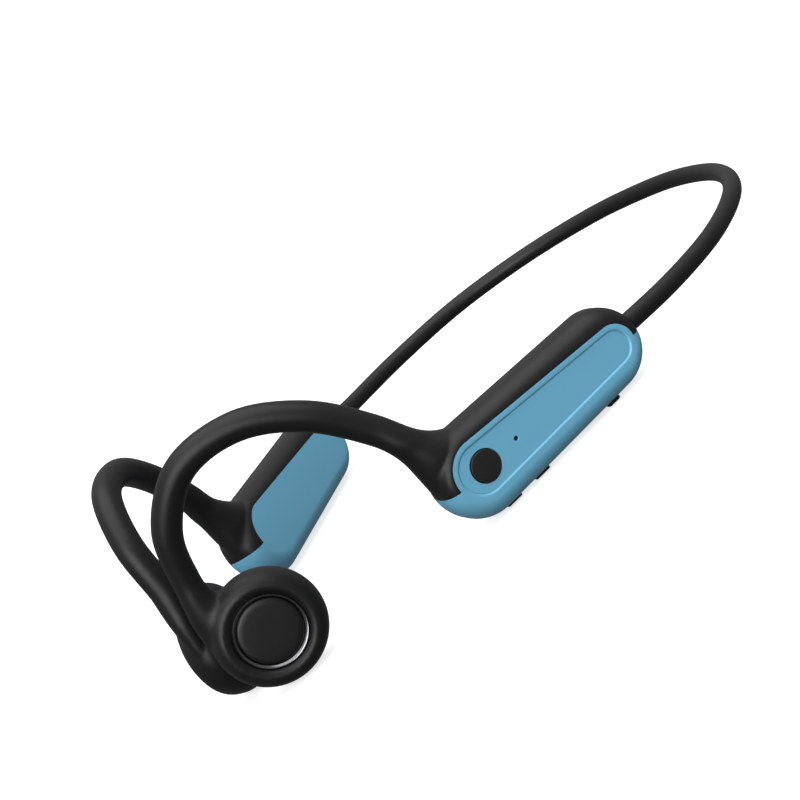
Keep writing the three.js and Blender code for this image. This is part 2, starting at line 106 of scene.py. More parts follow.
# ---------------------------------------------------------------- finishes
@dataclass(frozen=True)
class Finish:
    """A surface finish, with its grain sizes in millimetres.

    Args:
        slot: the material slot that the finish belongs to.
        colour: the main colour, linear.
        mottle: how far the colour wanders from the main one, as a share of it.
        roughness: the middle roughness.
        haze: how far the roughness wanders to either side.
        grain: size of the fine grain.
        relief: depth of the fine grain.
        patch: size of the slow change in colour and roughness.
        metallic: 1 for bare metal.
        coat: strength of a clear satin layer.
        specular: strength of the surface's own reflection.
    """

    slot: str
    colour: Colour
    mottle: float
    roughness: float
    haze: float
    grain: float
    relief: float
    patch: float = 6.0
    metallic: float = 0.0
    coat: float = 0.0
    specular: float = 0.5

    coat_roughness: ClassVar[float] = 0.25
    grain_detail: ClassVar[float] = 4.0
    patch_detail: ClassVar[float] = 3.0
    usual_noise: ClassVar[tuple[float, float]] = (0.3, 0.7)

    def material(self) -> bpy.types.Material:
        """The finish as a node material, made once and then shared."""
        found = bpy.data.materials.get(f"{self.slot}_finish")
        return found or self._build()

    def _build(self) -> bpy.types.Material:
        """Builds the nodes: fine grain for relief, slow patches for colour and roughness."""
        material = bpy.data.materials.new(f"{self.slot}_finish")
        material.use_nodes = True
        nodes, links = material.node_tree.nodes, material.node_tree.links
        shader = nodes["Principled BSDF"]
        place = nodes.new("ShaderNodeTexCoord")
        patches = nodes.new("ShaderNodeTexNoise")
        patches.inputs["Scale"].default_value = 1 / (self.patch * MM)
        patches.inputs["Detail"].default_value = self.patch_detail
        grain = nodes.new("ShaderNodeTexNoise")
        grain.inputs["Scale"].default_value = 1 / (self.grain * MM)
        grain.inputs["Detail"].default_value = self.grain_detail
        tint = nodes.new("ShaderNodeMix")
        tint.data_type = "RGBA"
        tint.inputs["A"].default_value = (*[c * (1 - self.mottle) for c in self.colour], 1)
        tint.inputs["B"].default_value = (*[c * (1 + self.mottle) for c in self.colour], 1)
        spread = nodes.new("ShaderNodeMapRange")
        spread.inputs["From Min"].default_value = self.usual_noise[0]
        spread.inputs["From Max"].default_value = self.usual_noise[1]
        spread.inputs["To Min"].default_value = self.roughness - self.haze
        spread.inputs["To Max"].default_value = self.roughness + self.haze
        bump = nodes.new("ShaderNodeBump")
        bump.inputs["Strength"].default_value = 1.0
        bump.inputs["Distance"].default_value = self.relief * MM
        links.new(place.outputs["Object"], patches.inputs["Vector"])
        links.new(place.outputs["Object"], grain.inputs["Vector"])
        links.new(patches.outputs["Fac"], tint.inputs["Factor"])
        links.new(tint.outputs["Result"], shader.inputs["Base Color"])
        links.new(grain.outputs["Fac"], spread.inputs["Value"])
        links.new(spread.outputs["Result"], shader.inputs["Roughness"])
        links.new(grain.outputs["Fac"], bump.inputs["Height"])
        links.new(bump.outputs["Normal"], shader.inputs["Normal"])
        shader.inputs["Metallic"].default_value = self.metallic
        shader.inputs["Specular IOR Level"].default_value = self.specular
        shader.inputs["Coat Weight"].default_value = self.coat
        shader.inputs["Coat Roughness"].default_value = self.coat_roughness
        return material

    def dress(self, piece: bpy.types.Object) -> bpy.types.Object:
        """Gives a new piece this finish.

        Args:
            piece: the piece to dress.

        Returns:
            The same piece.
        """
        piece.data.materials.clear()
        piece.data.materials.append(self.material())
        return piece


SILICONE = Finish(
    "silicone", (0.0105, 0.0105, 0.011), 0.10, 0.45, 0.03, 0.22, 0.004, specular=0.23,
)
SHELL_BLUE = Finish(
    "shell_blue", (0.150, 0.445, 0.640), 0.02, 0.40, 0.02, 0.35, 0.003, patch=9.0, coat=0.12,
)
BUTTON_BLACK = Finish(
    "button_black", (0.015, 0.0142, 0.014), 0.06, 0.50, 0.03, 0.16, 0.004, specular=0.30,
)
CAP_BLACK = Finish(
    "cap_black", (0.0085, 0.0085, 0.009), 0.06, 0.42, 0.02, 0.18, 0.003, specular=0.28,
)
SKIN_PAD = Finish(
    "skin_pad", (0.012, 0.012, 0.0125), 0.10, 0.58, 0.04, 0.25, 0.010, specular=0.3,
)
TRIM_RING = Finish("trim_ring", (0.15, 0.15, 0.155), 0.03, 0.24, 0.03, 0.12, 0.0015, metallic=1.0)
TITANIUM = Finish("titanium", (0.27, 0.26, 0.25), 0.05, 0.34, 0.05, 0.20, 0.003, metallic=1.0)
CABLE_JACKET = Finish("cable_jacket", (0.04, 0.04, 0.042), 0.08, 0.55, 0.03, 0.20, 0.006)
STEEL = Finish("steel", (0.46, 0.47, 0.49), 0.04, 0.28, 0.05, 0.18, 0.002, metallic=1.0)
MAGNET = Finish("magnet", (0.18, 0.19, 0.20), 0.05, 0.26, 0.05, 0.20, 0.002, metallic=0.9)
COPPER = Finish("copper", (0.50, 0.16, 0.05), 0.10, 0.36, 0.05, 0.15, 0.010, metallic=1.0)
CIRCUIT_BOARD = Finish("circuit_board", (0.014, 0.075, 0.040), 0.15, 0.45, 0.05, 0.6, 0.008)
CELL_FOIL = Finish("cell_foil", (0.42, 0.43, 0.45), 0.05, 0.34, 0.06, 1.5, 0.02, metallic=0.8)

INTERIOR_PAIRS: dict[str, Finish] = {
    "hook_wire": TITANIUM, "driver_yoke": STEEL, "driver_magnet": MAGNET, "driver_coil": COPPER,
    "driver_spring": STEEL,
}
INTERIOR_SINGLES: dict[str, Finish] = {
    "charging_socket": STEEL, "control_board": CIRCUIT_BOARD, "main_switch": STEEL,
    "microphone": STEEL, "radio_module": STEEL, "volume_switch_front": STEEL,
    "volume_switch_rear": STEEL, "battery": CELL_FOIL, "battery_board": CIRCUIT_BOARD,
}


# ---------------------------------------------------------------- modelling steps
def clear_selection() -> None:
    """Leaves nothing selected, so that an operator acts only on the piece in hand."""
    if bpy.context.object and bpy.context.object.mode != "OBJECT":
        bpy.ops.object.mode_set(mode="OBJECT")
    bpy.ops.object.select_all(action="DESELECT")


def take(piece: bpy.types.Object) -> bpy.types.Object:
    """Selects one piece and makes it active."""
    clear_selection()
    piece.select_set(True)
    bpy.context.view_layer.objects.active = piece
    return piece


def ring(centre: Vector, wide: Vector, thick: Vector, sides: int) -> list[Vector]:
    """The corners of an oval ring.

    Args:
        centre: its middle.
        wide: from the middle to the oval's edge one way.
        thick: from the middle to the oval's edge the other way.
        sides: how many corners it has.

    Returns:
        The corners, in order.
    """
    turns = [2 * math.pi * step / sides for step in range(sides)]
    return [centre + wide * math.cos(turn) + thick * math.sin(turn) for turn in turns]


def place_ring(piece: bpy.types.Object, indices: list[int], points: Sequence[Vector]) -> None:
    """Moves a piece's ring of corners, in edit mode, onto points."""
    sheet = bmesh.from_edit_mesh(piece.data)
    sheet.verts.ensure_lookup_table()
    for index, point in zip(indices, points, strict=True):
        sheet.verts[index].co = point
    bmesh.update_edit_mesh(piece.data)


def extrude_ring(piece: bpy.types.Object, indices: list[int]) -> list[int]:
    """Extrudes the selected ring in place.

    Args:
        piece: the piece, in edit mode with its last ring selected.
        indices: that ring's corners, in order.

    Returns:
        The new ring's corners, in the same order.
    """
    bpy.ops.mesh.extrude_edges_move()
    sheet = bmesh.from_edit_mesh(piece.data)
    sheet.verts.ensure_lookup_table()
    sheet.verts.index_update()
    fresh = []
    for index in indices:
        corner = sheet.verts[index]
        ends = [edge.other_vert(corner) for edge in corner.link_edges]
        fresh.append(next(end.index for end in ends if end.select))
    return fresh


def select_ring(piece: bpy.types.Object, indices: list[int]) -> None:
    """Selects one ring of corners of a piece in edit mode."""
    bpy.ops.mesh.select_all(action="DESELECT")
    sheet = bmesh.from_edit_mesh(piece.data)
    sheet.verts.ensure_lookup_table()
    for index in indices:
        sheet.verts[index].select_set(True)
    sheet.select_flush(True)
    bmesh.update_edit_mesh(piece.data)


def face_outward(piece: bpy.types.Object) -> bpy.types.Object:
    """Turns all of a piece's faces outward."""
    take(piece)
    bpy.ops.object.mode_set(mode="EDIT")
    bpy.ops.mesh.select_all(action="SELECT")
    bpy.ops.mesh.normals_make_consistent(inside=False)
    bpy.ops.object.mode_set(mode="OBJECT")
    return piece


def loft(name: str, rings: Sequence[Sequence[Vector]], capped: bool = True) -> bpy.types.Object:
    """A skin drawn through rings, each extruded from the one before it.

    Args:
        name: the new piece's name.
        rings: the rings' corners, all with the same count.
        capped: whether the first and last rings are filled.

    Returns:
        The new piece.
    """
    clear_selection()
    bpy.ops.mesh.primitive_circle_add(vertices=len(rings[0]), radius=1.0)
    piece = bpy.context.object
    piece.name = name
    bpy.ops.object.mode_set(mode="EDIT")
    bpy.ops.mesh.select_mode(type="VERT")
    first = indices = list(range(len(rings[0])))
    place_ring(piece, indices, rings[0])
    for points in rings[1:]:
        indices = extrude_ring(piece, indices)
        place_ring(piece, indices, points)
    for end in (first, indices) if capped else ():
        select_ring(piece, end)
        bpy.ops.mesh.edge_face_add()
    bpy.ops.object.mode_set(mode="OBJECT")
    return face_outward(piece)


def turned(
    name: str, profile: Profile, sides: int = 96, capped: bool = True
) -> bpy.types.Object:
    """A form turned about the X axis.

    Args:
        name: the new piece's name.
        profile: [radius, along X] points from one end to the other.
        sides: how many corners each ring has.
        capped: whether both ends are filled.

    Returns:
        The new piece.
    """
    rings = [
        ring(Vector((x, 0, 0)), Vector((0, radius, 0)), Vector((0, 0, radius)), sides)
        for radius, x in profile
    ]
    return loft(name, rings, capped)


def block(name: str, low: Point, high: Point, bevel: float = 0.0) -> bpy.types.Object:
    """A block between two corners with rounded edges.

    Args:
        name: the new piece's name.
        low: its lowest corner.
        high: its highest corner.
        bevel: radius of its edges.

    Returns:
        The new piece.
    """
    clear_selection()
    size = Vector(high) - Vector(low)
    middle = (Vector(high) + Vector(low)) / 2
    bpy.ops.mesh.primitive_cube_add(size=1.0)
    piece = bpy.context.object
    piece.name = name
    bpy.ops.object.mode_set(mode="EDIT")
    bpy.ops.transform.resize(value=size, center_override=(0, 0, 0))
    bpy.ops.transform.translate(value=middle)
    if bevel:
        bpy.ops.mesh.bevel(offset=bevel, segments=5, affect="EDGES")
    bpy.ops.object.mode_set(mode="OBJECT")
    return piece


def combine(
    piece: bpy.types.Object, tool: bpy.types.Object, how: Joining = Joining.CUT
) -> bpy.types.Object:
    """Cuts a piece with a tool, which is used up, or joins or crosses the two.

    Args:
        piece: the piece that changes.
        tool: the other solid.
        how: what the tool does to the piece.

    Returns:
        The changed piece.
    """
    take(piece)
    modifier = piece.modifiers.new("combine", "BOOLEAN")
    modifier.operation = how.value
    modifier.solver = "MANIFOLD"
    modifier.object = tool
    bpy.ops.object.modifier_apply(modifier=modifier.name)
    bpy.data.objects.remove(tool)
    return piece


def copy_of(piece: bpy.types.Object, name: str) -> bpy.types.Object:
    """A copy of a piece with a mesh of its own."""
    take(piece)
    bpy.ops.object.duplicate()
    copy = bpy.context.object
    copy.name = name
    return copy


def seat(piece: bpy.types.Object, place: Matrix) -> bpy.types.Object:
    """Moves a piece to its place and leaves its object at the origin.

    Args:
        piece: a piece whose object is at the origin.
        place: from the piece's own axes to the ones it is seated in.

    Returns:
        The same piece, with its faces outward.
    """
    take(piece)
    piece.matrix_world = place
    bpy.ops.object.transform_apply(location=True, rotation=True, scale=True)
    return face_outward(piece) if place.determinant() < 0 else piece


def smooth(piece: bpy.types.Object, degrees: float = CREASE) -> bpy.types.Object:
    """Shades a piece smooth, apart from edges sharper than an angle."""
    take(piece)
    bpy.ops.object.shade_smooth_by_angle(angle=math.radians(degrees))
    return piece


def ease(share: float) -> float:
    """A share from 0 to 1 that starts and ends gently."""
    return share * share * (3 - 2 * share)


def log_faces(piece: bpy.types.Object) -> None:
    """Logs how many faces a finished piece has."""
    LOG.info("%s: %d faces", piece.name, len(piece.data.polygons))


def spline(stations: Sequence[Station], per_span: int) -> list[Station]:
    """Draws a smooth run through stations.

    Args:
        stations: each a centre and the two half widths of its section.
        per_span: how many steps each span is cut into.

    Returns:
        The run, from the first station to the last.
    """
    ends = [
        tuple(2 * a - b for a, b in zip(stations[0], stations[1])),
        *stations,
        tuple(2 * a - b for a, b in zip(stations[-1], stations[-2])),
    ]
    run = []
    for span in range(len(stations) - 1):
        around = ends[span:span + 4]
        gaps = [
            max((b[0] - a[0]).length ** 0.5, LEAST_GAP) for a, b in zip(around, around[1:])
        ]
        for step in range(per_span):
            run.append(tuple(
                _between([station[k] for station in around], gaps, step / per_span)
                for k in range(3)
            ))
    return [*run, tuple(stations[-1])]


def curve(points: Sequence[Vector], per_span: int) -> list[Vector]:
    """A smooth line through points, with each span cut into a number of steps."""
    no_width = Vector()
    stations = [(point, no_width, no_width) for point in points]
    return [centre for centre, _, _ in spline(stations, per_span)]


def _between(values: Sequence[Vector], gaps: Sequence[float], t: float) -> Vector:
    """A value between the middle two of four, on a smooth curve through them all."""
    first = (values[1] - values[0]) / gaps[0] - (values[2] - values[0]) / (gaps[0] + gaps[1])
    second = (values[2] - values[1]) / gaps[1]
    third = (values[3] - values[2]) / gaps[2] - (values[3] - values[1]) / (gaps[1] + gaps[2])
    leave = (first + second) * gaps[1]
    arrive = (second + third) * gaps[1]
    change = values[1] - values[2]
    return (
        (2 * change + leave + arrive) * t**3
        - (3 * change + 2 * leave + arrive) * t**2
        + leave * t
        + values[1]
    )


# ---------------------------------------------------------------- places
@dataclass(frozen=True)
class Layout:
    """Where the pods and transducers sit, in millimetres as worn, and how the whole rests."""

    rest_tilt: float = -0.9
    flex_point: Point = (0.0, 134.0, -3.2)
    pod_centre: Point = (44.5, 0.0, 0.0)
    pod_yaw: float = 19.6
    pod_lean: float = 1.5
    disc_centre: Point = (8.7, -44.0, 1.05)
    disc_yaw: float = 33.0
    disc_lift: float = -2.0

    def worn_to_row(self, flex_joint: Vector) -> Matrix:
        """From worn millimetres to the row frame, given where the flex joint is there."""
        turn = Matrix.Rotation(math.radians(self.rest_tilt), 4, "X") @ Matrix.Scale(MM, 4)
        return Matrix.Translation(flex_joint - turn @ Vector(self.flex_point)) @ turn

    def pod_to_worn(self) -> Matrix:
        """From the left pod's own axes to the worn ones."""
        return self._frame(self.pod_centre, self.pod_yaw, self.pod_lean)

    def disc_to_worn(self) -> Matrix:
        """From the left transducer's own axes to the worn ones."""
        return self._frame(self.disc_centre, self.disc_yaw, self.disc_lift)

    @staticmethod
    def _frame(centre: Point, yaw: float, lean: float) -> Matrix:
        """A place turned about Z by yaw and then about Y by lean."""
        turn = Matrix.Rotation(math.radians(-yaw), 4, "Z")
        return Matrix.Translation(centre) @ turn @ Matrix.Rotation(math.radians(lean), 4, "Y")


@dataclass
class Seats:
    """The matrices that carry a finished piece to its place in the row frame."""

    layout: Layout
    flex_joint: Vector

    def __post_init__(self) -> None:
        """Works the matrices out once."""
        self.worn = self.layout.worn_to_row(self.flex_joint)
        self.pod = self.worn @ self.layout.pod_to_worn()
        self.disc = self.worn @ self.layout.disc_to_worn()
        self.disc_in_pod = self.layout.pod_to_worn().inverted() @ self.layout.disc_to_worn()
        self.worn_in_pod = self.layout.pod_to_worn().inverted()

    def both(
        self, piece: bpy.types.Object, place: Matrix, finish: Finish, name: str | None = None,
        nodes: Sequence[str] = (), left_cuts: Callable[[bpy.types.Object], None] | None = None,
        crease: float = CREASE,
    ) -> list[bpy.types.Object]:
        """Seats a left piece, and its mirror image on the right, each on its own half.

        Args:
            piece: the left piece in its own axes.
            place: from those axes to the row frame.
            finish: what both are dressed in.
            name: what both are called before their side is added.
            nodes: the nodes, without their side, that they stand for.
            left_cuts: work done on the left piece only, before it is seated.
            crease: edges sharper than this many degrees stay crisp.

        Returns:
            The left and the right piece.
        """
        name = name or piece.name
        twin = copy_of(piece, f"right_{name}")
        piece.name = f"left_{name}"
        if left_cuts:
            left_cuts(piece)
        seat(piece, place)
        seat(twin, Matrix.Scale(-1, 4, Vector((1, 0, 0))) @ place)
        for side, made in ((Side.LEFT, piece), (Side.RIGHT, twin)):
            smooth(finish.dress(made), crease)
            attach(made, side.body)
            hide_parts(*[f"{node}_{side.value}" for node in nodes])
            log_faces(made)
        return [piece, twin]


# ---------------------------------------------------------------- neckband
@dataclass
class Neckband:
    """The band round the back of the head: a soft sleeve over a spring wire and a cable."""

    seats: Seats
    path: tuple[Point, ...] = (
        (0, 134, -3.2), (17.3, 132.2, -3.2), (39.2, 122.4, -3.0), (55.5, 105.2, -2.5),
        (63.7, 83, -2.1), (64.4, 62, -1.2), (61.8, 41, 0.5),
    )
    steps: int = 14
    radius: float = 2.3
    sides: int = 40
    bore: float = 1.5
    bore_sides: int = 24
    core_sides: int = 16
    wire_radius: float = 0.45
    wire_lift: float = 0.65
    cable_radius: float = 0.55
    cable_lift: float = -0.6
    pod_gap: float = 0.06
    flex_reach: float = 54.0

    def sweep(self) -> list[Vector]:
        """The band's centre line in worn millimetres, from the right pod to the left."""
        left = [Vector(point) for point in self.path]
        right = [Vector((-point.x, point.y, point.z)) for point in reversed(left[1:])]
        return curve(right + left, self.steps)

    def tube(self, name: str, radius: float, sides: int, lift: float = 0.0) -> bpy.types.Object:
        """A tube along the band.

        Args:
            name: the new piece's name.
            radius: its radius.
            sides: how many corners each ring has.
            lift: how far above the band's centre line it runs.

        Returns:
            The new piece, in worn millimetres.
        """
        centres = self.sweep()[1:-1]
        rings = []
        for index, centre in enumerate(centres):
            before = centres[max(index - 1, 0)]
            after = centres[min(index + 1, len(centres) - 1)]
            along = (after - before).normalized()
            across = along.cross(Vector((0, 0, 1))).normalized()
            middle = centre + Vector((0, 0, lift))
            rings.append(ring(middle, across * radius, across.cross(along) * radius, sides))
        return loft(name, rings)

    def hole(self) -> bpy.types.Object:
        """The room the band needs where it enters the left pod, in the pod's own axes."""
        tool = self.tube("band_room", self.radius + self.pod_gap, self.sides)
        return seat(tool, self.seats.worn_in_pod)

    def build(self) -> None:
        """Makes the sleeve, the wire and the cable."""
        sleeve = self.tube("band_sleeve", self.radius, self.sides)
        combine(sleeve, self.tube("band_bore", self.bore, self.bore_sides))
        wire = self.tube("band_wire", self.wire_radius, self.core_sides, self.wire_lift)
        cable = self.tube("band_cable", self.cable_radius, self.core_sides, self.cable_lift)
        finishes = {sleeve: SILICONE, wire: TITANIUM, cable: CABLE_JACKET}
        for piece, finish in finishes.items():
            seat(piece, self.seats.worn)
            smooth(finish.dress(piece))
            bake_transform(piece)
            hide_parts(f"{piece.name}_left", f"{piece.name}_right")
            log_faces(piece)


# ---------------------------------------------------------------- pod
@dataclass(frozen=True)
class Outline:
    """Two circles joined by straight lines, seen along X. Each circle is (Y, Z, radius)."""

    front: Point
    back: Point

    arc_steps: ClassVar[int] = 40
    run_steps: ClassVar[int] = 22

    def toward(self, other: Outline, share: float) -> Outline:
        """The outline a share of the way to another one."""
        return Outline(
            tuple(a + (b - a) * share for a, b in zip(self.front, other.front)),
            tuple(a + (b - a) * share for a, b in zip(self.back, other.back)),
        )

    def corners(self, x: float, inset: float = 0.0, drop: float = 0.0) -> list[Vector]:
        """The outline as a ring of points.

        Args:
            x: where it lies along X.
            inset: how much smaller it is all round.
            drop: how far down it is moved.

        Returns:
            Its points, in order.
        """
        arcs = []
        for (y, z, radius), start in ((self.front, 90), (self.back, -90)):
            turns = [
                math.radians(start + 180 * step / self.arc_steps)
                for step in range(self.arc_steps + 1)
            ]
            arcs.append([
                Vector((
                    x, y + (radius - inset) * math.cos(turn),
                    z - drop + (radius - inset) * math.sin(turn),
                ))
                for turn in turns
            ])
        corners = []
        for arc, following in zip(arcs, reversed(arcs)):
            corners += arc
            corners += [
                arc[-1].lerp(following[0], step / self.run_steps)
                for step in range(1, self.run_steps)
            ]
        return corners


@dataclass
class Pod:
    """A pod: a satin shell with a dished outer face, under the soft cover of the ear hook."""

    seats: Seats
    band: Neckband
    half: float = 6.2
    flat: float = 1.0
    silhouette: Outline = Outline((0, 0, 10.9), (39.05, -0.3, 9.9))
    face: Outline = Outline((-0.5, 0.8, 7.0), (40.6, -0.4, 5.2))
    cover_thickness: float = 1.3
    split_y: float = -9.0
    split_z: float = 0.4
    split_slope: float = -0.03
    parting: float = 0.07
    dish_depth: float = 0.28
    dish_inset: float = 1.0
    dish_slope: float = 0.55
    dish_headroom: float = 0.5
    dish_steps: int = 8
    plate_thickness: float = 1.0
    plate_gap: float = 0.025
    # The plate's rounded edge: how far in from its outline, and how far below its top.
    plate_edge: tuple[tuple[float, float], ...] = ((0.0, 0.07), (0.03, 0.02), (0.09, 0.0))
    plate_crease: float = 6.0
    cavity_inset: float = 2.7
    cavity_drop: float = 0.6
    pocket_growth: float = 0.6
    edge_steps: int = 14
    # How far the tools that pass right through the pod reach to either side.
    reach: float = 12.0

    @property
    def plate_top(self) -> float:
        """Where the plate's outer face lies along X."""
        return self.half - self.dish_depth

    def form(self, inset: float = 0.0, drop: float = 0.0) -> bpy.types.Object:
        """The pod's outer form, shrunk all round and moved down."""
        edge_radius = self.half - inset - self.flat
        edge = [math.pi / 2 * step / self.edge_steps for step in range(self.edge_steps + 1)]
        levels = [(math.sin(turn), -self.flat - edge_radius * math.cos(turn)) for turn in edge]
        levels += [(spread, -x) for spread, x in reversed(levels)]
        return loft("pod_form", [
            self.face.toward(self.silhouette, spread).corners(x, inset, drop)
            for spread, x in levels
        ])

    def face_prism(self, inset: float = 0.0) -> bpy.types.Object:
        """The face outline, shrunk by an inset, carried right through the pod."""
        return loft("face_prism", [self.face.corners(x, inset) for x in (-self.reach, self.reach)])

    def below_split(self, drop: float = 0.0) -> bpy.types.Object:
        """Everything below the cover's lower edge, near the pod."""
        tool = block("below_split", (-self.reach, -5.5, -30), (self.reach, 70, -drop))
        turn = Matrix.Rotation(math.atan(self.split_slope), 4, "X")
        return seat(tool, Matrix.Translation((0, self.split_y, self.split_z)) @ turn)

    def dish(self) -> bpy.types.Object:
        """The room taken by the dished face: a soft slope all round, then the plate's seat."""
        levels = [(0.0, self.half + self.dish_headroom)]
        for step in range(self.dish_steps + 1):
            share = step / self.dish_steps
            levels.append((share, self.half - self.dish_depth * ease(share)))
        levels.append((1.0, self.plate_top - self.plate_thickness))
        return loft("dish", [
            self.face.corners(x, self.dish_inset + self.dish_slope * share)
            for share, x in levels
        ])

    def shell(self) -> bpy.types.Object:
        """The blue shell: hollow, dished, and cut back where the soft cover lies on it."""
        pocket = self.form(-self.pocket_growth)
        for tool in (
            self.form(self.cover_thickness + self.parting), self.below_split(self.parting),
            self.face_prism(-self.parting),
        ):
            combine(pocket, tool)
        shell = self.form()
        for tool in (
            pocket, self.dish(), self.form(self.cavity_inset, self.cavity_drop), self.band.hole(),
        ):
            combine(shell, tool)
        shell.name = "pod_shell"
        return shell

    def plate(self) -> bpy.types.Object:
        """The plate at the bottom of the dish."""
        inset = self.dish_inset + self.dish_slope + self.plate_gap
        return loft("pod_faceplate", [
            self.face.corners(self.plate_top - drop, inset + cut)
            for cut, drop in ((0.0, self.plate_thickness), *self.plate_edge)
        ])

    def build(self, controls: Controls) -> None:
        """Makes both pods' shells and plates, with the controls' openings in the left one."""
        self.seats.both(
            self.shell(), self.seats.pod, SHELL_BLUE, nodes=["pod_shell"],
            left_cuts=controls.open_shell,
        )
        self.seats.both(
            self.plate(), self.seats.pod, SHELL_BLUE, nodes=["pod_faceplate"],
            left_cuts=controls.open_plate, crease=self.plate_crease,
        )


# ---------------------------------------------------------------- controls
@dataclass
class Controls:
    """The left pod's main button, microphone hole, volume keys and port cover."""

    seats: Seats
    pod: Pod
    button_at: tuple[float, float] = (0.5, 0.7)
    button_radius: float = 3.65
    button_gap: float = 0.17
    button_room: float = 0.9
    button_crown: float = 6.3
    button_sag: float = 0.1
    button_edge: float = 0.3
    button_edge_steps: int = 6
    button_flange_drop: float = 1.6
    button_flange: float = 0.7
    button_stem: tuple[float, float] = (1.2, 1.0)
    # A well's wall: how much wider than the well, and how far above the plate.
    well_profile: Profile = ((0.0, -3.0), (0.0, -0.12), (0.04, -0.04), (0.14, 0.005), (0.14, 2.0))
    microphone_at: tuple[float, float] = (9.7, 0.4)
    microphone_radius: float = 0.55
    microphone_room: float = 1.2
    # The dark mesh disc's radius and how far above the plate; the disc stands for the microphone's
    # acoustic mesh and also paints the shade in its hole.
    shade_mesh_profile: Profile = (
        (0.02, -0.32), (0.385, -0.33), (0.53, -0.36), (0.53, -0.6), (0.02, -0.6),
    )
    shade_mesh_sides: int = 48
    # Each key's name and its middle along the pod.
    keys: tuple[tuple[str, float], ...] = (("volume_up_button", 2.3), ("volume_down_button", 11.2))
    key_length: float = 4.3
    key_width: float = 3.2
    key_bottom: float = -11.55
    key_top: float = -7.8
    key_bevel: float = 0.32
    key_room: float = 0.14
    key_flange: float = 0.5
    key_flange_levels: tuple[float, float] = (-7.9, -7.4)
    key_flange_bevel: float = 0.1
    slot_low: float = -16.0
    slot_bevel: float = 0.5
    flap_low: Point = (-2.8, 26.0, -14.0)
    flap_high: Point = (2.8, 37.3, -9.7)
    flap_bevel: float = 0.5
    tab_low: Point = (-2.2, 32.7, -11.2)
    tab_high: Point = (2.2, 36.3, -9.4)
    plug_low: Point = (-0.8, 28.3, -9.9)
    plug_high: Point = (0.8, 34.7, -8.0)
    plug_bevel: float = 0.3
    recess_gap: float = 0.12
    recess_rise: float = 0.1
    recess_bevel: float = 0.6
    throat_low: Point = (-1.8, 27.2, -12.0)
    throat_high: Point = (1.8, 35.8, -4.2)

    def well(self, at: tuple[float, float], radius: float) -> bpy.types.Object:
        """A round well through the outer face, with a soft rim."""
        top = self.pod.plate_top
        profile = [(radius + wider, top + above) for wider, above in self.well_profile]
        return seat(turned("well", profile), Matrix.Translation((0, *at)))

    def open_plate(self, plate: bpy.types.Object) -> None:
        """Cuts the holes for the main button and the microphone."""
        combine(plate, self.well(self.button_at, self.button_radius + self.button_gap))
        combine(plate, self.well(self.microphone_at, self.microphone_radius))

    def open_shell(self, shell: bpy.types.Object) -> None:
        """Cuts the wells under the face, the slots for the keys and the port's recess."""
        combine(shell, self.well(self.button_at, self.button_radius + self.button_room))
        combine(shell, self.well(self.microphone_at, self.microphone_room))
        for _, y in self.keys:
            slot = self.bar(y, self.key_room, self.slot_low, self.key_top)
            combine(shell, block("key_slot", *slot, self.slot_bevel))
        gap = Vector((self.recess_gap, self.recess_gap, 0))
        low = Vector(self.flap_low) - gap
        high = Vector(self.flap_high) + gap + Vector((0, 0, self.recess_rise))
        combine(shell, block("recess", low, high, self.recess_bevel))
        combine(shell, block("throat", self.throat_low, self.throat_high, self.recess_bevel))

    def bar(self, y: float, wider: float, low: float, high: float) -> tuple[Point, Point]:
        """The corners of a key, or of a block that is wider than it all round."""
        across, along = self.key_width / 2 + wider, self.key_length / 2 + wider
        return (-across, y - along, low), (across, y + along, high)

    def microphone_shade_mesh(self) -> bpy.types.Object:
        """The dark mesh disc just below the plate: it stands for the microphone's acoustic mesh and
        also paints the shade in the hole.
        """
        top = self.pod.plate_top
        profile = [(radius, top + above) for radius, above in self.shade_mesh_profile]
        mesh = turned("microphone_shade_mesh", profile, self.shade_mesh_sides)
        return seat(mesh, Matrix.Translation((0, *self.microphone_at)))

    def main_button(self) -> bpy.types.Object:
        """The round button: a shallow crown with a soft edge over a flange."""
        radius, crown, edge = self.button_radius, self.button_crown, self.button_edge
        profile = [(0.02, crown), (radius * 0.35, crown - 0.01), (radius * 0.7, crown - 0.05)]
        for step in range(self.button_edge_steps + 1):
            turn = math.pi / 2 * step / self.button_edge_steps
            profile.append((
                radius - edge + edge * math.sin(turn),
                crown - self.button_sag - edge + edge * math.cos(turn),
            ))
        shoulder = self.pod.half - self.button_flange_drop
        below = shoulder - self.button_flange
        stem_radius, stem_length = self.button_stem
        profile += [
            (radius, shoulder), (radius + self.button_flange, shoulder),
            (radius + self.button_flange, below), (stem_radius, below),
            (stem_radius, below - stem_length), (0.02, below - stem_length),
        ]
        return seat(turned("main_button_cap", profile), Matrix.Translation((0, *self.button_at)))

    def key(self, name: str, y: float) -> bpy.types.Object:
        """A volume key: a rounded bar with a flange inside the shell."""
        bar = block(f"{name}_key", *self.bar(y, 0.0, self.key_bottom, self.key_top), self.key_bevel)
        flange = self.bar(y, self.key_flange, *self.key_flange_levels)
        return combine(bar, block("flange", *flange, self.key_flange_bevel), Joining.ADD)

    def port_flap(self) -> bpy.types.Object:
        """The port's cover: a flush flap with a finger tab and a plug for the socket."""
        flap = self.pod.form()
        zone = block("flap_zone", self.flap_low, self.flap_high, self.flap_bevel)
        combine(flap, zone, Joining.CROSS)
        tab = block("tab", self.tab_low, self.tab_high, self.flap_bevel)
        combine(flap, tab, Joining.ADD)
        plug = block("plug", self.plug_low, self.plug_high, self.plug_bevel)
        combine(flap, plug, Joining.ADD)
        flap.name = "port_flap"
        return flap

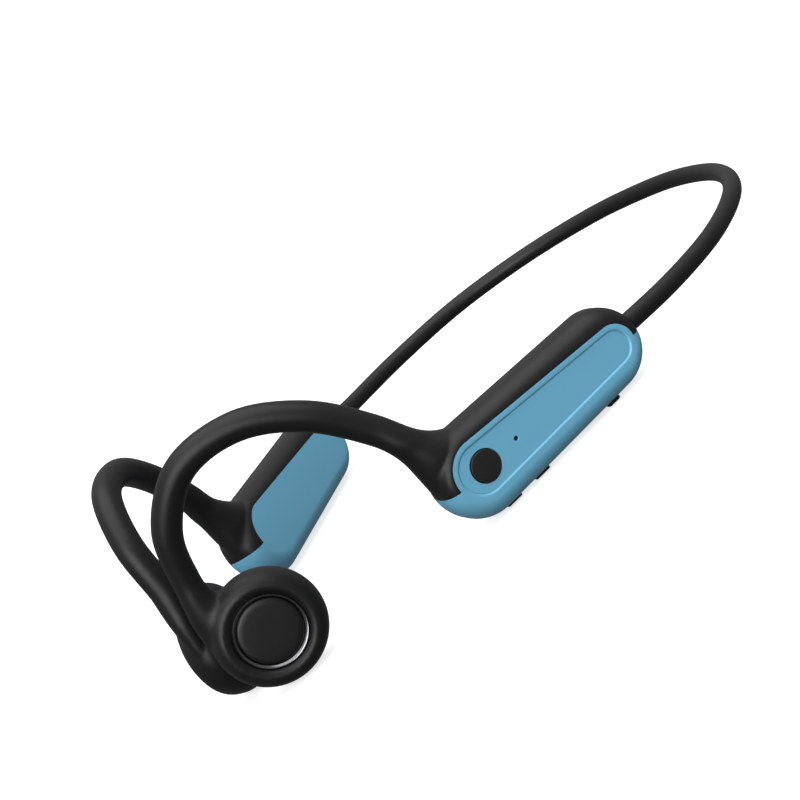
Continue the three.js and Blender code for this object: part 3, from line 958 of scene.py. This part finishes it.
    def build(self) -> None:
        """Makes the pieces that move, each on its own body, and the dark mesh disc that paints the
        shade in the microphone's hole.
        """
        made = [(self.main_button(), "main_button", BUTTON_BLACK)]
        made += [(self.key(name, y), name, BUTTON_BLACK) for name, y in self.keys]
        made.append((self.port_flap(), "port_cover", SILICONE))
        for piece, body, finish in made:
            seat(piece, self.seats.pod)
            smooth(finish.dress(piece))
            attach(piece, body)
            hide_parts(body)
            log_faces(piece)
        # The microphone's dark disc is partly a real black mesh and partly painted shade that keeps
        # the hole solid dark.
        mesh = seat(self.microphone_shade_mesh(), self.seats.pod)
        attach(smooth(BUTTON_BLACK.dress(mesh)), Side.LEFT.body)
        log_faces(mesh)


# ---------------------------------------------------------------- ear hook
@dataclass
class EarHook:
    """The soft moulding that covers a pod, runs over the ear and carries the transducer."""

    seats: Seats
    pod: Pod
    radius: float = 3.44
    path: tuple[Point, ...] = (
        (39.7, -11.1, 21.8), (34.4, -18.7, 33.5), (26.2, -28.5, 41.1), (16.6, -39.8, 41.2),
        (8.7, -47.9, 31.7),
    )
    # Sections across the root, in the pod's axes: inner edge (Y, Z), outer edge, half thickness.
    root: tuple[Section, ...] = (
        (-11.0, 0.2, 7.0, 2.8, 5.2), (-11.25, 3.6, 4.6, 8.6, 5.5), (-11.4, 6.8, 1.0, 11.0, 5.4),
        (-11.5, 9.8, -1.6, 12.6, 4.9), (-11.9, 12.6, -3.6, 14.4, 4.3),
        (-12.8, 15.5, -5.4, 16.7, 3.8),
    )
    # The same across the tip, in the transducer's axes.
    tip: tuple[Section, ...] = (
        (-3.7, 19.3, -10.5, 18.6, 3.45), (-4.1, 16.2, -11.4, 15.1, 3.45),
        (-3.4, 13.0, -12.4, 11.2, 3.5), (-0.5, 10.5, -12.9, 7.0, 3.6),
        (3.0, 6.5, -13.1, 1.5, 3.8), (4.5, 1.0, -12.3, -4.5, 3.6),
    )
    tip_x: float = 1.2
    sides: int = 40
    steps: int = 9
    rim_steps: int = 4
    voxel: float = 0.34
    # Where the pod's end of the hook is smoothed, in the pod's axes: centre, reach, strength.
    pod_joins: tuple[Join, ...] = (((0, -0.8, 12.4), 7.0, 0.6), ((0, -10.9, 6.0), 8.0, 1.0))
    # The same at the transducer's end, in the transducer's axes.
    disc_joins: tuple[Join, ...] = (
        ((1.2, -3.0, 13.5), 5.0, 1.0), ((4.2, -7.5, 9.5), 8.5, 1.0),
    )
    settle_passes: int = 4
    blend_passes: int = 90
    pass_strength: float = 0.5

    def stations(self) -> list[Station]:
        """The hook's sections from inside the pod to inside the transducer."""
        found = [self._section(values, Matrix.Identity(4), 0.0) for values in self.root]
        to_pod = self.seats.worn_in_pod
        points = [to_pod @ Vector(point) for point in self.path]
        tip = [self._section(values, self.seats.disc_in_pod, self.tip_x) for values in self.tip]
        line = [found[-1][0], *points, tip[0][0]]
        out_pod = Vector((1, 0, 0))
        out_disc = (self.seats.disc_in_pod.to_3x3() @ Vector((1, 0, 0))).normalized()
        for index in range(1, len(line) - 1):
            along = (line[index + 1] - line[index - 1]).normalized()
            out = out_pod.lerp(out_disc, index / (len(line) - 1))
            thick = (out - along * out.dot(along)).normalized()
            wide = thick.cross(along)
            if wide.dot(found[-1][1]) < 0:
                wide.negate()
            found.append((line[index], wide * self.radius, thick * self.radius))
        return found + tip

    @staticmethod
    def _section(values: Section, place: Matrix, x: float) -> Station:
        """A section between an inner and an outer edge, in the axes that place gives."""
        inner = place @ Vector((x, values[0], values[1]))
        outer = place @ Vector((x, values[2], values[3]))
        thick = (place.to_3x3() @ Vector((1, 0, 0))).normalized() * values[4]
        return (inner + outer) / 2, (inner - outer) / 2, thick

    def arm(self) -> bpy.types.Object:
        """The hook itself, which widens at both ends."""
        run = spline(self.stations(), self.steps)
        return loft("arm", [ring(*station, self.sides) for station in run])

    def housing(self) -> bpy.types.Object:
        """The fat rounded rim round the transducer, in the pod's axes."""
        points = [Vector((radius, x, 0)) for radius, x in Transducer.rim]
        profile = [(point.x, point.y) for point in curve(points, self.rim_steps)]
        return seat(turned("housing", profile), self.seats.disc_in_pod)

    def moulding(self) -> bpy.types.Object:
        """The pod's form, the hook and the rim run together, as soft rubber would."""
        parts = [self.pod.form(), self.arm(), self.housing()]
        clear_selection()
        for part in parts:
            part.select_set(True)
        bpy.context.view_layer.objects.active = parts[0]
        bpy.ops.object.join()
        body = bpy.context.object
        remesh = body.modifiers.new("remesh", "REMESH")
        remesh.mode = "VOXEL"
        remesh.voxel_size = self.voxel
        bpy.ops.object.modifier_apply(modifier=remesh.name)
        self._relax(body, "all", self.settle_passes, lambda _: 1.0)
        self._relax(body, "joins", self.blend_passes, self._join_weight())
        return body

    def _join_weight(self) -> Callable[[Vector], float]:
        """How strongly each place is smoothed, highest at the middle of a join."""
        disc = self.seats.disc_in_pod
        joins = [(Vector(centre), reach, share) for centre, reach, share in self.pod_joins]
        joins += [(disc @ Vector(centre), reach, share) for centre, reach, share in self.disc_joins]
        return lambda point: max(
            share * ease(max(0.0, 1 - (point - centre).length / reach))
            for centre, reach, share in joins
        )

    def _relax(
        self, body: bpy.types.Object, name: str, passes: int, weight: Callable[[Vector], float]
    ) -> None:
        """Smooths a body where a weight says.

        Args:
            body: the body to smooth.
            name: what to call its group of corners.
            passes: how many passes there are.
            weight: from a corner's place to its share of the smoothing.
        """
        group = body.vertex_groups.new(name=name)
        for vertex in body.data.vertices:
            share = weight(vertex.co)
            if share > 0:
                group.add([vertex.index], share, "REPLACE")
        take(body)
        modifier = body.modifiers.new(name, "SMOOTH")
        modifier.factor = self.pass_strength
        modifier.iterations = passes
        modifier.vertex_group = name
        bpy.ops.object.modifier_apply(modifier=modifier.name)
        bpy.ops.object.vertex_group_remove(all=True)

    def build(self, band: Neckband) -> None:
        """Makes both mouldings, parted from the shell and hollowed for the driver."""
        body = self.moulding()
        tools = [
            self.pod.below_split(), self.pod.face_prism(),
            self.pod.form(self.pod.cover_thickness), band.hole(),
        ]
        for profile in Transducer.hollows:
            tools.append(seat(turned("hollow", profile), self.seats.disc_in_pod))
        for tool in tools:
            combine(body, tool)
        self.seats.both(body, self.seats.pod, SILICONE, name="ear_hook", nodes=["ear_hook"])


# ---------------------------------------------------------------- transducer
@dataclass
class Transducer:
    """A round transducer, turned about its own X axis, which points outward.

    Each profile is a run of [radius, along X] points.
    """

    seats: Seats

    rim: ClassVar[Profile] = (
        (9.4, -3.6), (10.5, -3.2), (11.6, -2.4), (12.6, -1.4), (13.2, -0.3), (13.4, 1.0),
        (13.1, 3.0), (12.4, 4.8), (11.4, 5.95), (10.2, 6.4), (9.2, 6.1), (8.6, 5.3), (8.3, 4.6),
    )
    liner: ClassVar[Profile] = (
        (5.9, 3.0), (8.55, 3.0), (8.55, 4.75), (8.35, 4.75), (8.3, 4.15), (5.9, 4.15),
    )
    cap: ClassVar[Profile] = (
        (0.02, 5.62), (3.0, 5.62), (5.8, 5.6), (6.7, 5.55), (7.1, 5.44), (7.32, 5.24), (7.4, 5.0),
        (7.4, 4.2), (0.02, 4.2),
    )
    trim: ClassVar[Profile] = (
        (7.46, 4.2), (7.46, 5.0), (7.56, 5.14), (8.05, 5.56), (8.2, 5.62), (8.3, 5.52),
        (8.3, 4.2),
    )
    pad: ClassVar[Profile] = (
        (0.02, -3.9), (4.0, -3.9), (7.4, -3.86), (8.4, -3.72), (8.9, -3.45), (9.1, -3.05),
        (9.1, -2.4), (0.02, -2.4),
    )
    # The hollows that the rim has for the cap, the driver and the pad.
    hollows: ClassVar[tuple[Profile, ...]] = (
        ((8.6, 3.9), (8.6, 12)),
        ((9.2, -2.3), (11.0, -1.2), (11.6, 0.6), (11.0, 2.8), (8.0, 2.9)),
        ((9.3, -9), (9.3, -2.2)),
    )
    hoop_sides: ClassVar[int] = 128

    def build(self) -> None:
        """Makes the cap, pad, ring and liner of both transducers."""
        for name, make, profile, finish in (
            ("transducer_cap", turned, self.cap, CAP_BLACK),
            ("transducer_pad", turned, self.pad, SKIN_PAD),
            ("transducer_ring", self.hoop, self.trim, TRIM_RING),
            ("transducer_shell", self.hoop, self.liner, SILICONE),
        ):
            self.seats.both(make(name, profile), self.seats.disc, finish, nodes=[name])

    def hoop(self, name: str, profile: Profile) -> bpy.types.Object:
        """A closed hoop: an open turned wall whose two ends are bridged."""
        piece = take(turned(name, profile, self.hoop_sides, capped=False))
        bpy.ops.object.mode_set(mode="EDIT")
        bpy.ops.mesh.select_all(action="DESELECT")
        bpy.ops.mesh.select_non_manifold()
        bpy.ops.mesh.bridge_edge_loops()
        bpy.ops.object.mode_set(mode="OBJECT")
        return face_outward(piece)


# ---------------------------------------------------------------- studio
@dataclass(frozen=True)
class Lamp:
    """A wide soft light, far away.

    Args:
        name: what it is called.
        toward: the way to it from the object.
        spread: how wide it looks from the object, in degrees.
        strength: how much light it gives.
    """

    name: str
    toward: Point
    spread: float
    strength: float

    def build(self) -> None:
        """Hangs the light and turns it to the object."""
        clear_selection()
        bpy.ops.object.light_add(type="SUN", location=self.toward)
        lamp = bpy.context.object
        lamp.name = self.name
        lamp.data.angle = math.radians(self.spread)
        lamp.data.energy = self.strength
        lamp.rotation_euler = Vector(self.toward).to_track_quat("Z", "Y").to_euler()


@dataclass
class Studio:
    """A pale floor with a rising rim, soft light and the camera."""

    aim: Point = (0.01092, -0.01903, 0.02402)
    distance: float = 0.4701
    azimuth: float = 54.155
    elevation: float = 14.652
    roll: float = 39.855
    lens: float = 90.31
    sees_from: float = 0.01
    sees_to: float = 100.0
    sky_above: float = 0.46
    sky_below: float = 0.17
    # How steeply up or down the sky reaches its dimmest and its brightest.
    sky_turn: tuple[float, float] = (-0.5, 0.7)
    floor_radius: float = 8.0
    floor_curve: float = 2.0
    floor_curve_steps: int = 12
    floor_sides: int = 64
    floor_grey: float = 0.5
    floor_roughness: float = 0.9
    floor_glow: float = 0.72
    rim_height: float = 6.0
    lamps: tuple[Lamp, ...] = (
        Lamp("key_light", (0.15, 0.05, 1.0), 75.0, 3.1),
        Lamp("fill_light", (0.6, -1.0, 0.45), 50.0, 4.8),
    )

    def camera(self) -> None:
        """Stands the camera where it looks along its azimuth and elevation, turned by its roll."""
        azimuth, elevation = math.radians(self.azimuth), math.radians(self.elevation)
        right = Vector((math.cos(azimuth), math.sin(azimuth), 0))
        back = Vector((
            math.sin(azimuth) * math.cos(elevation), -math.cos(azimuth) * math.cos(elevation),
            math.sin(elevation),
        ))
        turn = Matrix((right, back.cross(right), back)).transposed().to_4x4()
        roll = Matrix.Rotation(math.radians(-self.roll), 4, "Z")
        place = Matrix.Translation(Vector(self.aim) + back * self.distance)
        clear_selection()
        bpy.ops.object.camera_add()
        camera = bpy.context.object
        camera.matrix_world = place @ turn @ roll
        camera.data.lens = self.lens
        camera.data.clip_start = self.sees_from
        camera.data.clip_end = self.sees_to
        bpy.context.scene.camera = camera

    def floor(self) -> None:
        """Lays the pale floor, which curves up into a rim far behind the object."""
        levels = [(self.floor_radius * share, 0.0) for share in (0.02, 0.3, 0.7)]
        for step in range(self.floor_curve_steps + 1):
            turn = math.pi / 2 * step / self.floor_curve_steps
            levels.append((
                self.floor_radius + self.floor_curve * math.sin(turn),
                self.floor_curve * (1 - math.cos(turn)),
            ))
        levels.append((self.floor_radius + self.floor_curve, self.rim_height))
        floor = take(loft("studio_floor", [
            ring(Vector((0, 0, z)), Vector((size, 0, 0)), Vector((0, size, 0)), self.floor_sides)
            for size, z in levels
        ], capped=False))
        bpy.ops.object.mode_set(mode="EDIT")
        select_ring(floor, list(range(self.floor_sides)))
        bpy.ops.mesh.edge_face_add()
        bpy.ops.object.mode_set(mode="OBJECT")
        smooth(floor)
        material = bpy.data.materials.new("studio_floor_finish")
        material.use_nodes = True
        shader = material.node_tree.nodes["Principled BSDF"]
        shader.inputs["Base Color"].default_value = (*[self.floor_grey] * 3, 1)
        shader.inputs["Roughness"].default_value = self.floor_roughness
        shader.inputs["Emission Color"].default_value = (1, 1, 1, 1)
        shader.inputs["Emission Strength"].default_value = self.floor_glow
        floor.data.materials.append(material)
        floor.visible_glossy = False
        floor.visible_diffuse = False

    def sky(self) -> None:
        """A sky that is bright above and dim below."""
        world = bpy.data.worlds.new("studio_sky")
        world.use_nodes = True
        nodes, links = world.node_tree.nodes, world.node_tree.links
        place = nodes.new("ShaderNodeTexCoord")
        split = nodes.new("ShaderNodeSeparateXYZ")
        level = nodes.new("ShaderNodeMapRange")
        level.interpolation_type = "SMOOTHSTEP"
        level.inputs["From Min"].default_value = self.sky_turn[0]
        level.inputs["From Max"].default_value = self.sky_turn[1]
        level.inputs["To Min"].default_value = self.sky_below
        level.inputs["To Max"].default_value = self.sky_above
        links.new(place.outputs["Generated"], split.inputs["Vector"])
        links.new(split.outputs["Z"], level.inputs["Value"])
        links.new(level.outputs["Result"], nodes["Background"].inputs["Strength"])
        nodes["Background"].inputs["Color"].default_value = (1, 1, 1, 1)
        bpy.context.scene.world = world

    def build(self) -> None:
        """Sets the sky, the floor, the lights and the camera."""
        self.sky()
        bpy.context.scene.view_settings.view_transform = "Standard"
        self.floor()
        for lamp in self.lamps:
            lamp.build()
        self.camera()


# ---------------------------------------------------------------- assembly
def dress_interior(nodes: dict[str, bpy.types.Object]) -> None:
    """Gives the pieces inside, whose shapes are kept, their finishes."""
    pairs = {
        f"{name}_{side.value}": finish for name, finish in INTERIOR_PAIRS.items() for side in Side
    }
    for name, finish in {**pairs, **INTERIOR_SINGLES}.items():
        for holder in nodes[name].material_slots:
            holder.material = finish.material()
        LOG.info("%s: kept, dressed in %s", name, finish.slot)


def main() -> None:
    """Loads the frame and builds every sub-assembly in order."""
    logging.basicConfig(level=logging.INFO, format="%(name)s %(message)s")
    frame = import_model()
    flex = next(joint for joint in frame["joints"] if joint["name"] == "neckband_flex")
    seats = Seats(Layout(), Vector(flex["pos_m"]))
    Studio().build()
    band = Neckband(seats)
    band.build()
    pod = Pod(seats, band)
    controls = Controls(seats, pod)
    pod.build(controls)
    controls.build()
    EarHook(seats, pod).build(band)
    Transducer(seats).build()
    dress_interior(frame["nodes"])


if __name__ == "__main__":
    main()
